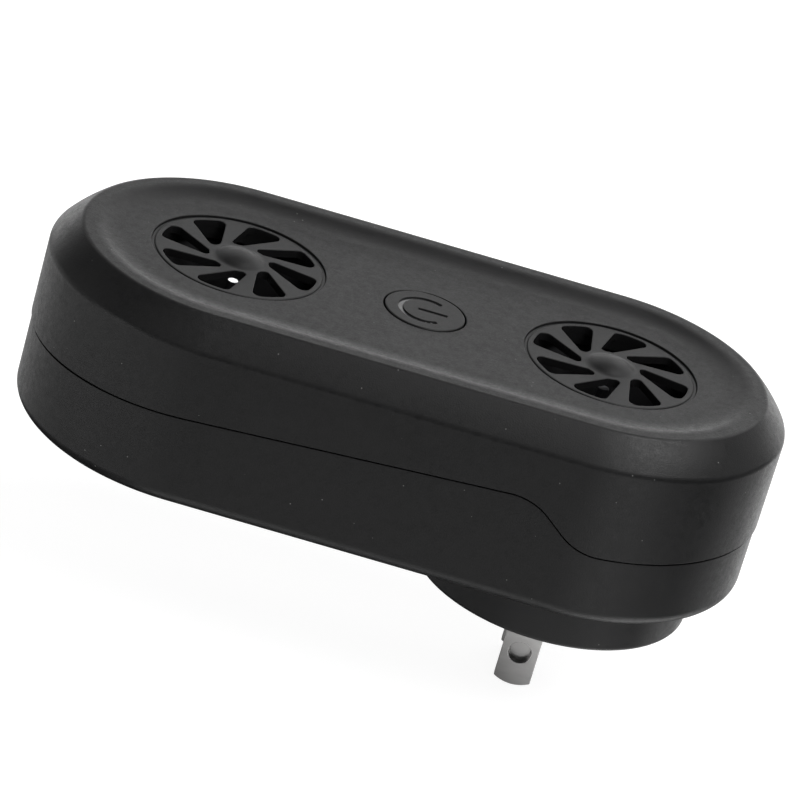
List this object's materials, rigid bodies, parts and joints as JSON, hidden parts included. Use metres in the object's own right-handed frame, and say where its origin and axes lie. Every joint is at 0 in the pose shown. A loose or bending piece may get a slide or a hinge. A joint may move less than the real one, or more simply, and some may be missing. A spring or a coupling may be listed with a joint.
{
  "type": "plug-in ultrasonic pest repeller",
  "caption": "Black pill-shaped plug-in ultrasonic pest repeller with swirl-slot speaker grilles, a central power button and a fixed flat-blade plug on a round boss.",
  "frame": {"origin": "in the round plug face, on the axis of the speaker at the plug end, 0.5 mm from the middle of the boss, where the product meets the wall outlet", "axes": "+Z runs out of the wall through the speaker face, the blades point to -Z, the long axis of the case runs along X with the plug at the +X end, and Y runs across the case"},
  "size_m": [0.1272, 0.0628, 0.0606],
  "materials": {
    "shell": "fine matte moulded black plastic",
    "grille": "fine matte moulded black plastic",
    "button": "fine matte moulded black plastic",
    "foam": "black closed-cell foam",
    "speaker_plastic": "matte black moulded plastic",
    "cone": "thin black formed film",
    "bright_metal": "turned bright metal",
    "brass": "plain brass disc with a pale ceramic layer",
    "tinned_brass": "tinned brass tabs",
    "black_plastic": "black moulding compound",
    "white_plastic": "off-white moulded plastic",
    "led": "pale diffused lens",
    "board": "green solder mask",
    "ferrite": "dark sintered ferrite",
    "tape": "yellow winding tape",
    "capacitor_box": "yellow moulded box",
    "capacitor_sleeve": "dark blue shrink sleeve",
    "resistor": "green lacquer",
    "lead_red": "red wire insulation",
    "lead_black": "black wire insulation",
    "carrier": "cream moulded plastic",
    "blade": "nickel plated brass blade, lightly brushed",
    "screw": "zinc plated steel"
  },
  "bodies": {
    "case": {"front_shell": "shell", "back_shell": "shell", "left_grille": "grille", "right_grille": "grille", "left_gasket": "foam", "right_gasket": "foam", "left_speaker_frame": "speaker_plastic", "right_speaker_frame": "speaker_plastic", "left_speaker_cone": "cone", "right_speaker_cone": "cone", "left_phase_plug": "bright_metal", "right_phase_plug": "bright_metal", "left_piezo_disc": "brass", "right_piezo_disc": "brass", "left_speaker_terminals": "tinned_brass", "right_speaker_terminals": "tinned_brass", "switch_body": "black_plastic", "status_led": "led", "circuit_board": "board", "transformer_core": "ferrite", "transformer_winding": "tape", "input_capacitor": "capacitor_box", "smoothing_capacitor": "capacitor_sleeve", "rectifier": "black_plastic", "driver_chip": "black_plastic", "fuse_resistor": "resistor", "choke": "ferrite", "speaker_connectors": "white_plastic", "left_speaker_lead": "lead_red", "right_speaker_lead": "lead_red", "mains_leads": "lead_black", "blade_carrier": "carrier", "near_plug_blade": "blade", "far_plug_blade": "blade", "case_screws": "screw", "board_screws": "screw", "speaker_screws": "screw", "carrier_screws": "screw"},
    "button": {"power_button": "button"},
    "plunger": {"switch_plunger": "white_plastic"}
  },
  "joints": [
    {"name": "button_press", "type": "slide", "parent": "case", "child": "button", "axis": [0, 0, -1], "range_m": [0, 0.0005], "stiffness_N_per_m": 1500, "springref_m": -0.0005},
    {"name": "plunger_press", "type": "slide", "parent": "case", "child": "plunger", "axis": [0, 0, -1], "range_m": [0, 0.0005]}
  ],
  "couplings": [
    {"joint": "plunger_press", "follows": "button_press", "ratio": 1}
  ]
}
